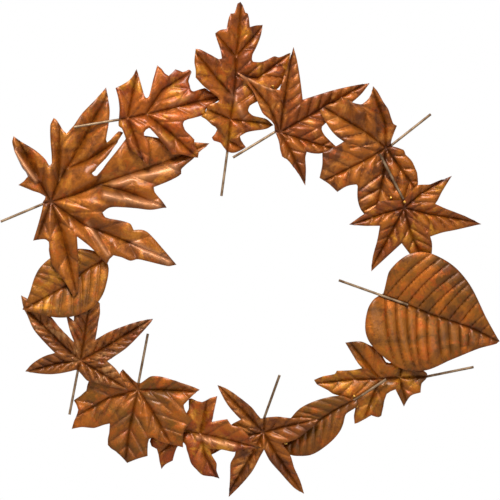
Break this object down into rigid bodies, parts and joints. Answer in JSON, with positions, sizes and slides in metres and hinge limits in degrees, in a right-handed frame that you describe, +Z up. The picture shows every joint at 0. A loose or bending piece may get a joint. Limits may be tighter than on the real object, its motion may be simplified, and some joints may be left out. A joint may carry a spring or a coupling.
{
  "type": "harvest door wreath",
  "caption": "Ring of stamped sheet-metal autumn leaves on wire stems, lapped one over the next and brazed together, for hanging on a door or wall.",
  "frame": {"origin": "middle of the wreath's overall box across and up, level with the middle of the leaves' laps front to back", "axes": "+Z up as it hangs, +X to the viewer's right, the leaves' fronts face -Y"},
  "size_m": [0.3809, 0.022, 0.379],
  "materials": {
    "leaf_sheet": "semi-gloss copper and rust lacquer, mottled with olive, gold and dark brown",
    "stem_wire": "satin grey-brown",
    "braze": "bright, as brazed"
  },
  "bodies": {
    "root": {"linden_leaf": "leaf_sheet", "sweetgum_leaf_right": "leaf_sheet", "maple_leaf_right": "leaf_sheet", "sweetgum_leaf_top": "leaf_sheet", "oak_leaf_top": "leaf_sheet", "oak_leaf_left": "leaf_sheet", "big_maple_leaf": "leaf_sheet", "hazel_leaf": "leaf_sheet", "creeper_leaf": "leaf_sheet", "maple_leaf_left": "leaf_sheet", "oak_leaf_bottom": "leaf_sheet", "sweetgum_leaf_bottom": "leaf_sheet", "beech_leaf": "leaf_sheet", "oak_leaf_right": "leaf_sheet", "linden_stem": "stem_wire", "sweetgum_stem_right": "stem_wire", "maple_stem_right": "stem_wire", "sweetgum_stem_top": "stem_wire", "oak_stem_top": "stem_wire", "oak_stem_left": "stem_wire", "big_maple_stem": "stem_wire", "hazel_stem": "stem_wire", "creeper_stem": "stem_wire", "maple_stem_left": "stem_wire", "oak_stem_bottom": "stem_wire", "sweetgum_stem_bottom": "stem_wire", "beech_stem": "stem_wire", "oak_stem_right": "stem_wire", "lap_brazes": "braze", "front_brazes": "braze"}
  },
  "joints": []
}
